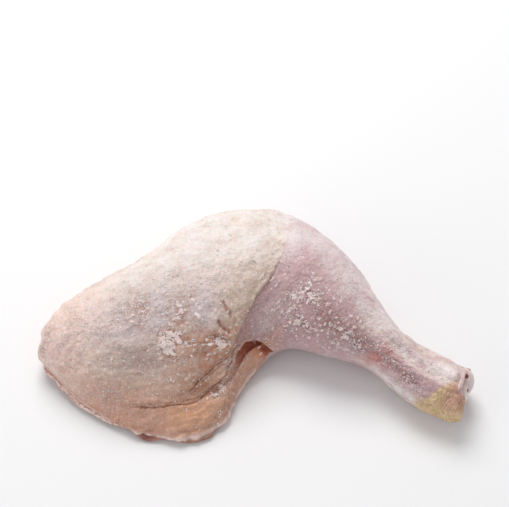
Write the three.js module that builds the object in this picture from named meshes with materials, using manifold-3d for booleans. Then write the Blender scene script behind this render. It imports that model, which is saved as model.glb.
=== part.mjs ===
// Raw chicken leg quarter, skin on: thigh and drumstick in one piece, cut through the hip joint and
// through the hock. It lies on its inner side on the surface z = 0, the hip towards -X and the cut
// hock towards +X. The thigh's flap of skin and the nook in front of the drumstick face -Y.
// Millimetres, +Z up.

import * as THREE from 'three';
import { LoftGeometry } from 'three/addons/geometries/LoftGeometry.js';
import { mergeVertices } from 'three/addons/utils/BufferGeometryUtils.js';
import Module from 'manifold-3d';

// Driving dimensions

const THIGH_HEIGHT = 44.5;      // crown of the thigh and of the knee above the surface
const CALF_HEIGHT = 42;         // thickest part of the drumstick's calf
const HOCK_HEIGHT = 26;         // shank and hock
const SOLE = - 0.8;             // the soft underside settles this far and lies flat

const FOLD_PLACE = 0.17;        // place round the section where the low flap meets the thigh's dome
const FOLD_DEPTH = 1.2;         // how far the skin dips where they meet
const THIGH_SHARE = 0.85;       // how far the thigh's section is flap and dome, and not plainly round
const CREASE_DEPTH = 1.3;       // the two creases that run down from the nook
const POCKET_DEPTH = 1;         // the tuck of skin under the nook
const DENT_DEPTH = 1.4;         // the dent low on the thigh's dome
const SKIN_EDGE = 1.2;          // the thigh's thick skin ends in a step of this height
const MEAT_LIP = 1.9;           // meat that stands out under the skin's edge at the hip
const TUCK = 3;                 // the knob of meat and the rolled hem at the flap's edge
const ROLLED_HEM = 1.6;
const TENDON = 0.8;             // ridges of the tendons along the shank
const UNEVEN = 0.6;             // low broad waves of the whole skin
const RIM_BACK = 3.2;           // the skin over the cut hock has shrunk back this far

const GAP = 0.3;                // clearance between the bone end and the flesh round it
const BONE_RADIUS = 5.1;        // shaft of the shank bone
const BONE_DEPTH = 22;          // how far the bone end reaches into the hock
const BONE_ASIDE = 1.4;         // the bone lies this much nearer the far side
const KNUCKLE = [ 6.2, 8.4, 5.2 ];  // half width, height and depth of each of its two knuckles
const KNUCKLES = [ { side: - 4, proud: 2.6 }, { side: 4, proud: 4.2 } ];    // middle, and how far out

const SECTIONS = 88;            // along the leg
const TIP_TAPER = 0.03;         // crowds the sections towards the round hip tip

// The leg's form, from the hip tip to the cut hock. near and far are the two edges of the outline,
// crown is the highest line: its share of the way across and its height, and fold is the place
// where flap and dome meet: its share of the way across and its height.

const STATIONS = [
	{ near: [ - 107, - 16, 10.5 ], far: [ - 106.6, - 8.5, 12 ],
		crown: [ 0.5, 16 ], sole: 6.5, fold: [ 0.02, 11 ] },
	{ near: [ - 104.4, - 20, 9 ], far: [ - 103.4, 0.5, 14 ],
		crown: [ 0.52, 24.5 ], sole: 2, fold: [ 0.04, 10 ] },
	{ near: [ - 93, - 31, 6.4 ], far: [ - 90, 14, 17 ],
		crown: [ 0.56, 32.5 ], sole: SOLE, fold: [ 0.05, 10 ] },
	{ near: [ - 69.5, - 48.6, 4.2 ], far: [ - 59.7, 34.2, 18 ],
		crown: [ 0.59, 39 ], sole: SOLE, fold: [ 0.08, 10.5 ] },
	{ near: [ - 42, - 56.4, 3.2 ], far: [ - 33, 55, 19.6 ],
		crown: [ 0.62, 44 ], sole: SOLE, fold: [ 0.1, 11.5 ] },
	{ near: [ - 17.6, - 50.3, 3.4 ], far: [ - 7, 64, 20 ],
		crown: [ 0.62, THIGH_HEIGHT ], sole: SOLE, fold: [ 0.15, 13.5 ] },
	{ near: [ - 5, - 26.2, 4.8 ], far: [ 14.8, 61, 20 ],
		crown: [ 0.59, THIGH_HEIGHT ], sole: SOLE, fold: [ 0.17, 15 ] },
	{ near: [ 9.8, - 13.2, 13 ], far: [ 32.8, 49.5, 20 ],
		crown: [ 0.56, THIGH_HEIGHT ], sole: SOLE, fold: [ 0.07, 14 ] },
	{ near: [ 29.5, - 15.6, 19 ], far: [ 51.2, 27.7, 19.7 ],
		crown: [ 0.52, CALF_HEIGHT ], sole: 1.2, fold: [ 0.05, 19 ] },
	{ near: [ 51.2, - 22.6, 17.8 ], far: [ 65.5, 3.5, 17 ],
		crown: [ 0.5, 32.8 ], sole: 3, fold: [ 0.05, 18 ] },
	{ near: [ 69.6, - 36.2, 13.8 ], far: [ 78.7, - 10.6, 14.4 ],
		crown: [ 0.5, 26.8 ], sole: 1.6, fold: [ 0.05, 14 ] },
	{ near: [ 84, - 46.7, 12.2 ], far: [ 93.2, - 18.4, 13.2 ],
		crown: [ 0.5, HOCK_HEIGHT ], sole: SOLE, fold: [ 0.05, 12 ] },
	{ near: [ 93, - 49.8, 11.2 ], far: [ 101, - 23.2, 13.4 ],
		crown: [ 0.5, HOCK_HEIGHT ], sole: SOLE, fold: [ 0.05, 11 ] },
	{ near: [ 98.2, - 49.6, 11.2 ], far: [ 104.6, - 24.6, 13.4 ],
		crown: [ 0.5, 25.6 ], sole: 0, fold: [ 0.05, 11 ] },
];
const LAST = STATIONS.length - 1;

// The skin's rounded ends: each ring is the end section drawn in to a share of its size and moved
// out along the leg. At the hock the skin turns in over the cut face of the meat.

const TIP_RINGS = [ { size: 0.35, out: 1.1 }, { size: 0.7, out: 0.8 } ];
const TIP_DIRECTION = new THREE.Vector3( - 1, 0, 0 );
const RIM_RINGS = [ { size: 0.98, out: 0.55 }, { size: 0.93, out: 0.9 }, { size: 0.8, out: 1 } ];
const CUT_DIRECTION = new THREE.Vector3( 0.94, - 0.3, 0.12 ).normalize();

// Small helpers for curves and steps

const smooth = ( value, from, to ) => THREE.MathUtils.smoothstep( value, from, to );
const bell = ( value, middle, width ) => Math.exp( - ( ( ( value - middle ) / width ) ** 2 ) );
const between = ( value, from, to, soft ) =>
	smooth( value, from - soft, from ) * ( 1 - smooth( value, to, to + soft ) );
const wave = ( value, rate, start ) => Math.sin( rate * value + start );
const halfPower = ( place ) => Math.log( place ) / Math.log( 0.5 );

function curveThrough( pick ) {

	const points = STATIONS.map( ( station ) => new THREE.Vector3( ...pick( station ) ) );
	return new THREE.CatmullRomCurve3( points, false, 'catmullrom', 0.5 );

}

const nearEdge = curveThrough( ( station ) => station.near );
const farEdge = curveThrough( ( station ) => station.far );
const crownLine = curveThrough( ( station ) => [ ...station.crown, station.sole ] );
const foldLine = curveThrough( ( station ) => [ ...station.fold, 0 ] );

// A point of the skin before its folds. along runs from 0 at the hip to LAST at the hock. around
// runs from 0 at the near edge over the crown at 0.5 to the far edge at 1 and back underneath to 2.
// The drumstick's section is a rounded one; the thigh's is a dome beside a low flap.

function formPoint( along, around ) {

	const near = nearEdge.getPoint( along / LAST );
	const far = farEdge.getPoint( along / LAST );
	const { x: crownShare, y: crown, z: sole } = crownLine.getPoint( along / LAST );
	const { x: foldShare, y: foldHeight } = foldLine.getPoint( along / LAST );
	const thigh = THIGH_SHARE * smooth( along, 2.8, 5 ) * ( 1 - smooth( along, 6.2, 7.4 ) );
	const rise = Math.sin( Math.PI * around );
	const across = THREE.MathUtils.clamp( 0.5 - 0.5 * Math.cos( Math.PI * around ), 1e-9, 1 );

	if ( rise <= 1e-12 ) {

		const point = near.clone().lerp( far, across );
		const flatness = 0.9 - 0.5 * thigh;
		point.z -= ( point.z - sole ) * Math.pow( - Math.min( rise, 0 ), flatness );
		return point;

	}

	const roundShare = Math.pow( across, halfPower( crownShare ) );
	const roundEdge = THREE.MathUtils.lerp( near.z, far.z, roundShare );
	const steepness = around < 0.5 ? 0.3 * smooth( along, 0.2, 1 ) * ( 1 - smooth( along, 6, 7 ) ) : 0;
	const roundHeight = roundEdge + ( crown - roundEdge ) * Math.pow( rise, 1 + steepness );

	let share, height;

	if ( around < FOLD_PLACE ) {

		const out = around / FOLD_PLACE;
		share = foldShare * out;
		height = near.z + ( foldHeight - near.z ) * Math.pow( Math.sin( Math.PI / 2 * out ), 0.8 )
			- FOLD_DEPTH * Math.max( ( out - 0.8 ) / 0.2, 0 ) ** 2;

	} else {

		const over = ( around - FOLD_PLACE ) / ( 1 - FOLD_PLACE );
		const peak = ( crownShare - foldShare ) / ( 1 - foldShare );
		const domeShare = Math.pow( Math.max( 0.5 - 0.5 * Math.cos( Math.PI * over ), 1e-9 ), halfPower( peak ) );
		const foot = THREE.MathUtils.lerp( foldHeight - FOLD_DEPTH, far.z, domeShare );
		const arch = Math.pow( Math.max( Math.sin( Math.PI * over ), 0 ), over < 0.5 ? 1.3 : 1 );
		share = foldShare + ( 1 - foldShare ) * domeShare;
		height = foot + ( crown - foot ) * arch;

	}

	const point = near.clone().lerp( far, THREE.MathUtils.lerp( roundShare, share, thigh ) );
	point.z = THREE.MathUtils.lerp( roundHeight, height, thigh );
	return point;

}

// The thigh's thick skin ends in a step that runs up out of the nook and back over the crown

function skinEdge( along, around ) {

	const edge = 5.2 + 1.2 * smooth( around, 0.27, 0.52 ) - 0.4 * smooth( around, 0.62, 0.85 );
	const behind = edge - along;
	const fading = Math.exp( - Math.max( behind, 0 ) / 0.8 );
	return SKIN_EDGE * smooth( behind, 0, 0.08 ) * fading * smooth( around, 0.26, 0.34 )
		* ( 1 - 0.8 * smooth( around, 0.48, 0.6 ) ) * ( 1 - smooth( around, 0.9, 1 ) );

}

// Two creases climb from the flap to the nook, where the upper one opens into a pocket

function creases( along, around ) {

	const upper = 0.185 + 0.095 * smooth( along, 4, 4.95 ) - 0.22 * smooth( along, 5.3, 6.9 );
	const lower = 0.11 + 0.04 * smooth( along, 3.1, 4.2 ) + 0.09 * smooth( along, 4.2, 5.5 );
	const width = 0.013 + 0.01 * smooth( along, 4.6, 5.2 );
	const upperCrease = bell( around, upper, width ) * between( along, 4.5, 5, 0.5 );
	const lowerCrease = 0.8 * bell( around, lower, width ) * between( along, 3.9, 4.8, 0.7 );
	const pocket = between( along, 5.6, 6.2, 0.5 ) * bell( around, upper - 0.02, 0.03 );
	return - CREASE_DEPTH * ( upperCrease + lowerCrease ) - POCKET_DEPTH * pocket;

}

// A lip of meat under the skin's edge at the hip, a knob of meat tucked under the flap, and the
// flap's own hem, which is wavy and in one place rolled in

function hems( along, around ) {

	const meatLip = between( along, 1.2, 2.9, 0.5 )
		* ( bell( around, 1.945, 0.03 ) - 0.8 * bell( around, 1.988, 0.012 ) );
	const tuck = bell( along, 3.6, 0.2 )
		* ( bell( around, 1.965, 0.022 ) - 0.7 * bell( around, 1.993, 0.01 ) );
	const rolled = between( along, 4.3, 4.75, 0.15 )
		* ( bell( around, 1.975, 0.03 ) - 0.6 * bell( around, 0.03, 0.014 ) );
	const wavy = ( 0.6 * wave( along, 6.3, 0 ) + 0.4 * wave( along, 11, 1 ) ) * bell( around, 0.01, 0.04 )
		* between( along, 3, 6.4, 0.4 );
	return MEAT_LIP * meatLip + TUCK * tuck + ROLLED_HEM * rolled + wavy;

}

// Ridges of the tendons along the shank, and the grooves between them

function tendons( along, around ) {

	const ridges = 1.1 * bell( around, 0.56, 0.05 ) + 0.9 * bell( around, 0.38, 0.05 );
	const grooves = 0.8 * bell( around, 0.47, 0.04 ) + 0.9 * bell( around, 0.24, 0.05 );
	return TENDON * between( along, 9.6, 12.3, 0.9 ) * ( ridges - grooves );

}

// How far the skin stands out of that form

function relief( along, around ) {

	const dent = bell( along, 3.45, 0.3 )
		* ( bell( around, 0.268, 0.028 ) - 0.6 * bell( around, 0.318, 0.022 ) );
	const broad = wave( along, 3.1, 1 ) * wave( around, 7, 0.5 )
		+ 0.6 * wave( along, 5.3, 2 ) * wave( around, 13, 1.2 );
	return skinEdge( along, around ) + creases( along, around ) + hems( along, around )
		+ tendons( along, around ) - DENT_DEPTH * dent + UNEVEN * broad;

}

// The same point with its relief, moved along the skin's outward normal. Close to the surface it
// lies on, the skin is pressed flat, and over the cut hock it has shrunk back.

const STEP = 0.001;
const PRESSED = 1.5;

function skinPoint( along, around ) {

	const before = formPoint( Math.max( along - STEP, 0 ), around );
	const after = formPoint( Math.min( along + STEP, LAST ), around );
	const lengthwise = after.sub( before );
	const crosswise = formPoint( along, around + STEP ).sub( formPoint( along, around - STEP ) );
	const outward = lengthwise.cross( crosswise ).normalize();
	const point = formPoint( along, around );
	const freedom = THREE.MathUtils.clamp( point.z / PRESSED, 0, 1 );
	const shrunk = RIM_BACK * smooth( along, 11.6, LAST ) * between( around, 0.42, 0.78, 0.17 );
	point.addScaledVector( outward, relief( along, around ) * freedom );
	point.addScaledVector( CUT_DIRECTION, - shrunk );
	point.z = Math.max( point.z, 0 );
	return point;

}

// Columns round the section, closest together at the folds, from the near edge round underneath to
// the crown, so that a ring of them runs counterclockwise as seen from the hock.

const COLUMN_SPANS = [
	{ from: 0, to: 0.1, count: 4 },
	{ from: 0.1, to: 0.3, count: 13 },
	{ from: 0.3, to: 1, count: 14 },
	{ from: 1, to: 1.9, count: 12 },
	{ from: 1.9, to: 2, count: 5 },
];

const columns = COLUMN_SPANS.flatMap( ( { from, to, count } ) =>
	Array.from( { length: count }, ( _, i ) => from + ( to - from ) * i / count ) ).reverse();

function ringCentre( ring ) {

	return ring.reduce( ( sum, point ) => sum.add( point ), new THREE.Vector3() ).divideScalar( ring.length );

}

function drawnIn( ring, { size, out }, direction ) {

	const centre = ringCentre( ring );
	return ring.map( ( point ) =>
		centre.clone().lerp( point, size ).addScaledVector( direction, out ) );

}

function legRings() {

	const rings = [];

	for ( let i = 1; i <= SECTIONS; i ++ ) {

		const share = i / SECTIONS;
		const along = LAST * ( 1 + TIP_TAPER ) * share * share / ( share + TIP_TAPER );
		rings.push( columns.map( ( around ) => skinPoint( Math.min( along, LAST ), around ) ) );

	}

	const tip = TIP_RINGS.map( ( ring ) => drawnIn( rings[ 0 ], ring, TIP_DIRECTION ) );
	const rim = RIM_RINGS.map( ( ring ) => drawnIn( rings.at( - 1 ), ring, CUT_DIRECTION ) );
	return [ ...tip, ...rings, ...rim ];

}

// Solids: joining and cutting closed meshes

const wasm = await Module();
wasm.setup();

function toSolid( geometry ) {

	const bare = new THREE.BufferGeometry();
	bare.setIndex( geometry.index );
	bare.setAttribute( 'position', geometry.attributes.position );
	const merged = mergeVertices( bare, 1e-4 );
	return new wasm.Manifold( new wasm.Mesh( {
		numProp: 3,
		vertProperties: new Float32Array( merged.attributes.position.array ),
		triVerts: new Uint32Array( merged.index.array ),
	} ) );

}

function toGeometry( solid ) {

	const { vertProperties, triVerts } = solid.getMesh();
	const geometry = new THREE.BufferGeometry();
	geometry.setAttribute( 'position', new THREE.BufferAttribute( new Float32Array( vertProperties ), 3 ) );
	geometry.setIndex( new THREE.BufferAttribute( new Uint32Array( triVerts ), 1 ) );
	geometry.computeVertexNormals();
	return geometry;

}

const capped = ( rings ) => toSolid( new LoftGeometry( rings, { capStart: true, capEnd: true } ) );

// The bone's own frame at the cut: x across the cut, y up it and z out of it

function hockFrame( centre ) {

	const across = new THREE.Vector3( 0, 0, 1 ).cross( CUT_DIRECTION ).normalize();
	const up = CUT_DIRECTION.clone().cross( across );
	const middle = centre.clone().addScaledVector( across, BONE_ASIDE );
	return new THREE.Matrix4().makeBasis( across, up, CUT_DIRECTION ).setPosition( middle );

}

// The shank bone's end: a round shaft with two knuckles side by side, capped with cartilage.
// grow thickens it on every side.

function boneSolid( frame, grow = 0 ) {

	const radius = BONE_RADIUS + grow;
	const depth = BONE_DEPTH + grow;
	const shaft = new THREE.CylinderGeometry( radius, radius, depth, 20 )
		.rotateX( Math.PI / 2 ).translate( 0, 0, - depth / 2 ).applyMatrix4( frame );
	const knuckles = KNUCKLES.map( ( { side, proud } ) => new THREE.SphereGeometry( 1, 20, 12 )
		.scale( ...KNUCKLE.map( ( half ) => half + grow ) )
		.translate( side, 0, proud - KNUCKLE[ 2 ] ).applyMatrix4( frame ) );
	return knuckles.reduce( ( solid, knuckle ) => solid.add( toSolid( knuckle ) ), toSolid( shaft ) );

}

function buildLeg( rings, frame ) {

	const solid = capped( rings ).subtract( boneSolid( frame, GAP ) );
	const mesh = new THREE.Mesh( toGeometry( solid ),
		new THREE.MeshStandardMaterial( { color: 0xe3cbc0, roughness: 0.5, metalness: 0 } ) );
	mesh.name = 'leg';
	return mesh;

}

function buildBone( frame ) {

	const mesh = new THREE.Mesh( toGeometry( boneSolid( frame ) ),
		new THREE.MeshStandardMaterial( { color: 0xd9d3d4, roughness: 0.35, metalness: 0 } ) );
	mesh.name = 'shank_bone';
	return mesh;

}

// The whole, with its origin under the middle of its box

const rings = legRings();
const frame = hockFrame( ringCentre( rings.at( - 1 - RIM_RINGS.length ) ) );
const pieces = new THREE.Group();
pieces.add( buildLeg( rings, frame ), buildBone( frame ) );

const box = new THREE.Box3().setFromObject( pieces );
const middle = box.getCenter( new THREE.Vector3() );
pieces.position.set( - middle.x, - middle.y, - box.min.z );

const group = new THREE.Group();
group.add( pieces );
export default group;
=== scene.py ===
import bpy
import numpy as np
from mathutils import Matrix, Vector


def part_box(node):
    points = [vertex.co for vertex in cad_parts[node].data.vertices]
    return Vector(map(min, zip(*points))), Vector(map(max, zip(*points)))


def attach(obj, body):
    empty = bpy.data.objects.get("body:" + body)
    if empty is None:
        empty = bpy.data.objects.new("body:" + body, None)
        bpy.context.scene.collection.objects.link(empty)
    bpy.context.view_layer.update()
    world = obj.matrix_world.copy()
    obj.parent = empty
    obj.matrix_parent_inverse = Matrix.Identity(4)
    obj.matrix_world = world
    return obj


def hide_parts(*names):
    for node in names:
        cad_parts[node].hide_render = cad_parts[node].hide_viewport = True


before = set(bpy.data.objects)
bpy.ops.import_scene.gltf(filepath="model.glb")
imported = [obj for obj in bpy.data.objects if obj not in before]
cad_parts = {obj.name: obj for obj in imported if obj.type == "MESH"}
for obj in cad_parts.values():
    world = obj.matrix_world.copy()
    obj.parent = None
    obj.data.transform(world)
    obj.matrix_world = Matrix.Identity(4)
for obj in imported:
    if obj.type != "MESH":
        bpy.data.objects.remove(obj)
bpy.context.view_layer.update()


# Flesh and skin: the form
# A whole leg of a broiler, cut through the hip joint and the hock, with its skin on. It is laid on
# its inner side, so the thigh settles flat underneath and the loose belly skin folds out in front.

leg_low, leg_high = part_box("leg")
LEG_LENGTH = 213.4                       # hip tip to the skin's rim at the hock, in mm
MM = (leg_high.x - leg_low.x) / LEG_LENGTH      # metres in the frame for each mm here

SOLE = -0.8                              # how low the soft underside would hang; it lies flat at 0
FOLD_PLACE = 0.17                        # the fold between flap and dome, as a place round the section
FOLD_DEPTH = 1.2

# near edge x y z, far edge x y z, crown's share across and height, sole, fold's share and height
STATIONS = np.array([
    (-107.0, -16.0, 10.5, -106.6, -8.5, 12.0, 0.50, 16.0, 6.5, 0.02, 11.0),      # hip tip
    (-104.4, -20.0, 9.0, -103.4, 0.5, 14.0, 0.52, 24.5, 2.0, 0.04, 10.0),
    (-93.0, -31.0, 6.4, -90.0, 14.0, 17.0, 0.56, 32.5, SOLE, 0.05, 10.0),        # hip
    (-69.5, -48.6, 4.2, -59.7, 34.2, 18.0, 0.59, 39.0, SOLE, 0.08, 10.5),
    (-42.0, -56.4, 3.2, -33.0, 55.0, 19.6, 0.62, 44.0, SOLE, 0.10, 11.5),        # thigh
    (-17.6, -50.3, 3.4, -7.0, 64.0, 20.0, 0.62, 44.5, SOLE, 0.15, 13.5),         # corner of the flap
    (-5.0, -26.2, 4.8, 14.8, 61.0, 20.0, 0.59, 44.5, SOLE, 0.17, 15.0),          # knee
    (9.8, -13.2, 13.0, 32.8, 49.5, 20.0, 0.56, 44.5, SOLE, 0.07, 14.0),           # nook
    (29.5, -15.6, 19.0, 51.2, 27.7, 19.7, 0.52, 42.0, 1.2, 0.05, 19.0),          # calf
    (51.2, -22.6, 17.8, 65.5, 3.5, 17.0, 0.50, 32.8, 3.0, 0.05, 18.0),
    (69.6, -36.2, 13.8, 78.7, -10.6, 14.4, 0.50, 26.8, 1.6, 0.05, 14.0),         # shank
    (84.0, -46.7, 12.2, 93.2, -18.4, 13.2, 0.50, 26.0, SOLE, 0.05, 12.0),        # hock
    (93.0, -49.8, 11.2, 101.0, -23.2, 13.4, 0.50, 26.0, SOLE, 0.05, 11.0),
    (98.2, -49.6, 11.2, 104.6, -24.6, 13.4, 0.50, 25.6, 0.0, 0.05, 11.0),        # rim of the cut
])
HOCK = len(STATIONS) - 1

CUT = np.array([0.94, -0.3, 0.12])       # the way the cut through the hock faces
CUT = CUT / np.linalg.norm(CUT)
ACROSS = np.cross([0, 0, 1], CUT)
ACROSS = ACROSS / np.linalg.norm(ACROSS)
UP = np.cross(CUT, ACROSS)
RIM_BACK = 3.2                           # the skin over the cut has shrunk back this far


def smooth(value, start, end):
    """0 before start, 1 after end, and 3s^2 - 2s^3 of the share s of the way between."""
    share = np.clip((value - start) / (end - start), 0, 1)
    return share * share * (3 - 2 * share)


def bell(value, middle, width):
    """e to the minus square of the distance from the middle, counted in widths."""
    return np.exp(-((value - middle) / width) ** 2)


def between(value, start, end, soft):
    """1 from start to end and 0 outside, with a smooth step of width soft on either side."""
    return smooth(value, start - soft, start) * (1 - smooth(value, end, end + soft))


def band(value, edges):
    """Two edges are a bell's middle and width, three a band's start, end and softness."""
    return bell(value, *edges) if len(edges) == 2 else between(value, *edges)


def stations_at(along):
    """A cubic through four neighbouring stations, whose slope at a station is half the step from the
    one before it to the one after; the row of stations is carried on straight at both ends."""
    rows = np.vstack([2 * STATIONS[0] - STATIONS[1], STATIONS, 2 * STATIONS[-1] - STATIONS[-2]])
    first = np.clip(np.floor(along).astype(int), 0, HOCK - 1)
    f = (along - first)[..., None]
    a, b, c, d = (rows[first + step] for step in range(4))
    return 0.5 * (2 * b + (c - a) * f + (2 * a - 5 * b + 4 * c - d) * f**2 + (3 * b - a - 3 * c + d) * f**3)


def form(along, around):
    """A point of the leg before its folds. along counts the stations from hip to hock. around goes
    from 0 at the near edge over the crown at 0.5 to the far edge at 1, and underneath back to 2.
    The drumstick's section is half a sine wave between its edges, with its crown moved sideways by
    a power of the share across. The thigh's is a low flap that dips into a fold, and a sine dome
    beyond it. Underneath, the height is a power of the sine, flatter under the thigh."""
    row = stations_at(along)
    near, far = row[..., 0:3], row[..., 3:6]
    crown_share, crown, sole, fold_share, fold_height = (row[..., k] for k in range(6, 11))
    rise = np.sin(np.pi * around)
    across = np.clip(0.5 - 0.5 * np.cos(np.pi * around), 1e-9, 1)
    thigh = 0.85 * smooth(along, 2.8, 5.0) * (1 - smooth(along, 6.2, 7.4))
    near_z, far_z = near[..., 2], far[..., 2]

    round_share = across ** (np.log(crown_share) / np.log(0.5))
    round_edge = near_z + (far_z - near_z) * round_share
    sharp = 1 + 0.3 * smooth(along, 0.2, 1.0) * (1 - smooth(along, 6.0, 7.0)) * (around < 0.5)
    round_height = round_edge + (crown - round_edge) * np.clip(rise, 0, 1) ** sharp

    out = np.clip(around / FOLD_PLACE, 0, 1)
    flap = near_z + (fold_height - near_z) * np.sin(np.pi / 2 * out) ** 0.8
    flap = flap - FOLD_DEPTH * np.clip((out - 0.8) / 0.2, 0, 1) ** 2

    over = np.clip((around - FOLD_PLACE) / (1 - FOLD_PLACE), 0, 1)
    peak = (crown_share - fold_share) / (1 - fold_share)
    dome_share = np.clip(0.5 - 0.5 * np.cos(np.pi * over), 1e-9, 1) ** (np.log(peak) / np.log(0.5))
    foot = fold_height - FOLD_DEPTH + (far_z - fold_height + FOLD_DEPTH) * dome_share
    arch = np.clip(np.sin(np.pi * over), 0, 1) ** np.where(over < 0.5, 1.3, 1)
    dome = foot + (crown - foot) * arch

    on_flap = around < FOLD_PLACE
    thigh_share = np.where(on_flap, fold_share * out, fold_share + (1 - fold_share) * dome_share)
    thigh_height = np.where(on_flap, flap, dome)

    upper = rise > 1e-12
    share = np.where(upper, round_share + (thigh_share - round_share) * thigh, across)
    point = near + (far - near) * share[..., None]
    edge_z = near_z + (far_z - near_z) * across
    lower_height = edge_z - (edge_z - sole) * np.clip(-rise, 0, 1) ** (0.9 - 0.5 * thigh)
    point[..., 2] = np.where(upper, round_height + (thigh_height - round_height) * thigh, lower_height)
    return point


def outward(along, around):
    """The unit normal of the form: the cross product of its slopes along and around."""
    step = 1e-3
    lengthwise = form(np.minimum(along + step, HOCK), around) - form(np.maximum(along - step, 0), around)
    crosswise = form(along, around + step) - form(along, around - step)
    normal = np.cross(lengthwise, crosswise)
    return normal / np.maximum(np.linalg.norm(normal, axis=-1), 1e-12)[..., None]


# Flesh and skin: folds and grain
# The thigh's skin is thick and pebbled where feathers grew and ends in a step along the knee; the
# drumstick's is thin and tight. The hock's skin is pleated over its pad and wrinkled by tendons.

def grain(place, size, seed):
    """Smooth noise from -1 to 1: random numbers on a cubic lattice of the given size, blended
    between its corners by 3s^2 - 2s^3."""
    table = np.random.default_rng(seed).uniform(-1, 1, 4096)
    cell = np.floor(place / size).astype(np.int64)
    inside = place / size - cell
    s = inside * inside * (3 - 2 * inside)
    total = 0
    for corner in np.ndindex(2, 2, 2):
        key = (cell + corner) @ np.array([1619, 31337, 6971])
        weight = np.prod(np.where(np.array(corner) == 1, s, 1 - s), axis=-1)
        total = total + weight * table[(key ^ (key >> 7)) & 4095]
    return total


def pebbles(place, size, seed):
    """Rounded cells from 0 at their rims to 1 at their middles: one random point in each cube of a
    lattice, and one minus the distance to the nearest of them."""
    table = np.random.default_rng(seed).uniform(0, 1, (4096, 3))
    cell = np.floor(place / size).astype(np.int64)
    nearest = np.full(place.shape[:-1], 9.0)
    for shift in np.ndindex(3, 3, 3):
        there = cell + np.array(shift) - 1
        key = there @ np.array([2713, 9157, 14851])
        seeded = there + table[(key ^ (key >> 5)) & 4095]
        nearest = np.minimum(nearest, np.linalg.norm(seeded - place / size, axis=-1))
    return 1 - np.clip(nearest, 0, 1)


def skin_edge(around):
    """Where along the leg the thigh's thick skin ends: in the nook at 5.2, and later over the crown."""
    crown = 1.1 * smooth(around, 0.27, 0.50) + 0.1 * smooth(around, 0.50, 0.55)
    return 5.2 + crown - 0.4 * smooth(around, 0.62, 0.85)


def behind_edge(along, around, place):
    """How far a place lies on the thigh's side of the thick skin's ragged edge, along the leg."""
    return skin_edge(around) + 0.05 * grain(place, 2.6, 13) - along


def flesh_share(along, around, place):
    """1 where bare meat shows: the thigh's underside within its hems, and out to the front edge in
    two lips."""
    ragged = 0.03 * grain(place, 9.0, 11) + 0.012 * grain(place, 3.0, 12)
    near_hem = 1.86 + 0.115 * between(along, 1.1, 2.9, 0.4) + 0.1 * bell(along, 3.55, 0.2)
    middle = smooth(around + ragged, 1.16, 1.18) * (1 - smooth(around + ragged, near_hem, near_hem + 0.015))
    return middle * between(along + 8 * ragged, 0.7, 6.6, 0.12)


def crinkle(place, direction, length, width, seed):
    """Sharp valleys from -1 to 0 that run along a direction: one minus the size of a noise, cubed and
    turned downwards, with the noise stretched along the direction."""
    axis = np.array([direction[0], direction[1], 0]) / np.hypot(*direction)
    side = np.array([-axis[1], axis[0], 0])
    stretched = np.stack([place @ axis / length, place @ side / width, place[..., 2] / width], -1)
    return -(1 - np.abs(grain(stretched, 1.0, seed))) ** 3


def beside_lines(along, around, place):
    """How far round the section a place lies above the upper fold, which climbs to the nook and sinks
    behind it; above the lower fold, which climbs more evenly; and above the brow, where the skin of
    the drumstick ends over the pocket in a slant that steepens by a power. Noise bends all three."""
    upper = 0.185 + 0.095 * smooth(along, 4.0, 4.95) - 0.22 * smooth(along, 5.3, 6.9)
    lower = 0.11 + 0.04 * smooth(along, 3.1, 4.2) + 0.09 * smooth(along, 4.2, 5.5)
    brow = 0.26 - 0.085 * (along - 5.41) - 0.16 * np.maximum(along - 6.08, 0) ** 1.7
    bent = around + 0.006 * grain(place, 7.0, 14) + 0.004 * grain(place, 2.5, 16)
    return {"above": bent - upper, "below": bent - lower, "brow": bent - brow}


# Ridges and grooves: the line that they follow, their band along the leg, and for each its height in
# mm, its distance from the line and its half width
RIDGES = (
    ("above", (4.5, 5.5, 0.6), ((-0.9, 0, 0.009),)),
    ("below", (3.9, 5.2, 0.9), ((-0.8, 0, 0.009),)),
    ("above", (4.9, 5.5, 0.3), ((-0.5, -0.035, 0.008),)),
    ("below", (5.0, 5.9, 0.3), ((-0.5, -0.05, 0.008),)),
    ("brow", (5.55, 6.75, 0.2), ((0.9, 0.022, 0.018), (-2.2, -0.028, 0.026))),          # pocket
    ("near edge", (1.2, 2.9, 0.5), ((1.9, 1.945, 0.03), (-1.5, 1.988, 0.010))),         # lip of meat
    ("near edge", (3.6, 0.2), ((3.0, 1.965, 0.022), (-2.0, 1.993, 0.008))),             # tucked lip
    ("near edge", (4.3, 4.75, 0.15), ((1.6, 1.975, 0.03), (-0.9, 0.03, 0.012))),        # rolled hem
    ("near edge", (3.45, 0.3), ((0.8, 0.318, 0.022), (-1.4, 0.268, 0.028))),            # dent
    ("near edge", (9.6, 12.3, 0.9), ((0.9, 0.56, 0.05), (-0.6, 0.47, 0.04))),           # tendons
    ("near edge", (9.6, 12.3, 0.9), ((0.7, 0.38, 0.05), (-0.7, 0.24, 0.05))),
)


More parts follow.
